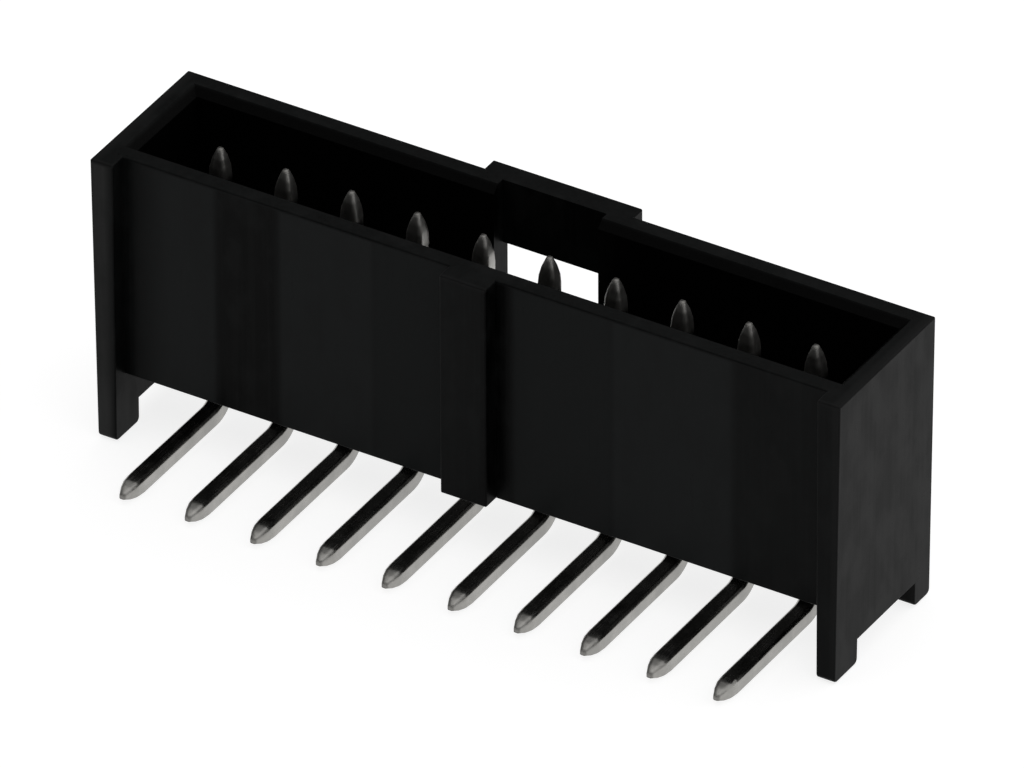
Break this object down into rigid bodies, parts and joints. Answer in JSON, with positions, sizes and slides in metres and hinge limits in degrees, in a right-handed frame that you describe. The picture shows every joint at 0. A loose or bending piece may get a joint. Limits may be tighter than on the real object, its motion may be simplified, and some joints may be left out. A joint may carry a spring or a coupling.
{
  "type": "shrouded pin header",
  "caption": "Right-angle shrouded pin header: black open-mouthed housing with end wings, a middle rib and a latch window, holding a row of bent square pins with solder tails.",
  "frame": {"origin": "middle of the row of solder tails, on the plane that seats on the board's surface", "axes": "+X along the row, -Y into the board along the solder tails, +Z out of the mating mouth"},
  "size_m": [0.0288, 0.0098, 0.0111],
  "materials": {
    "housing": "satin black moulded plastic",
    "pins": "bright tin plating"
  },
  "bodies": {
    "root": {"housing": "housing", "pin_01": "pins", "pin_02": "pins", "pin_03": "pins", "pin_04": "pins", "pin_05": "pins", "pin_06": "pins", "pin_07": "pins", "pin_08": "pins", "pin_09": "pins", "pin_10": "pins"}
  },
  "joints": []
}
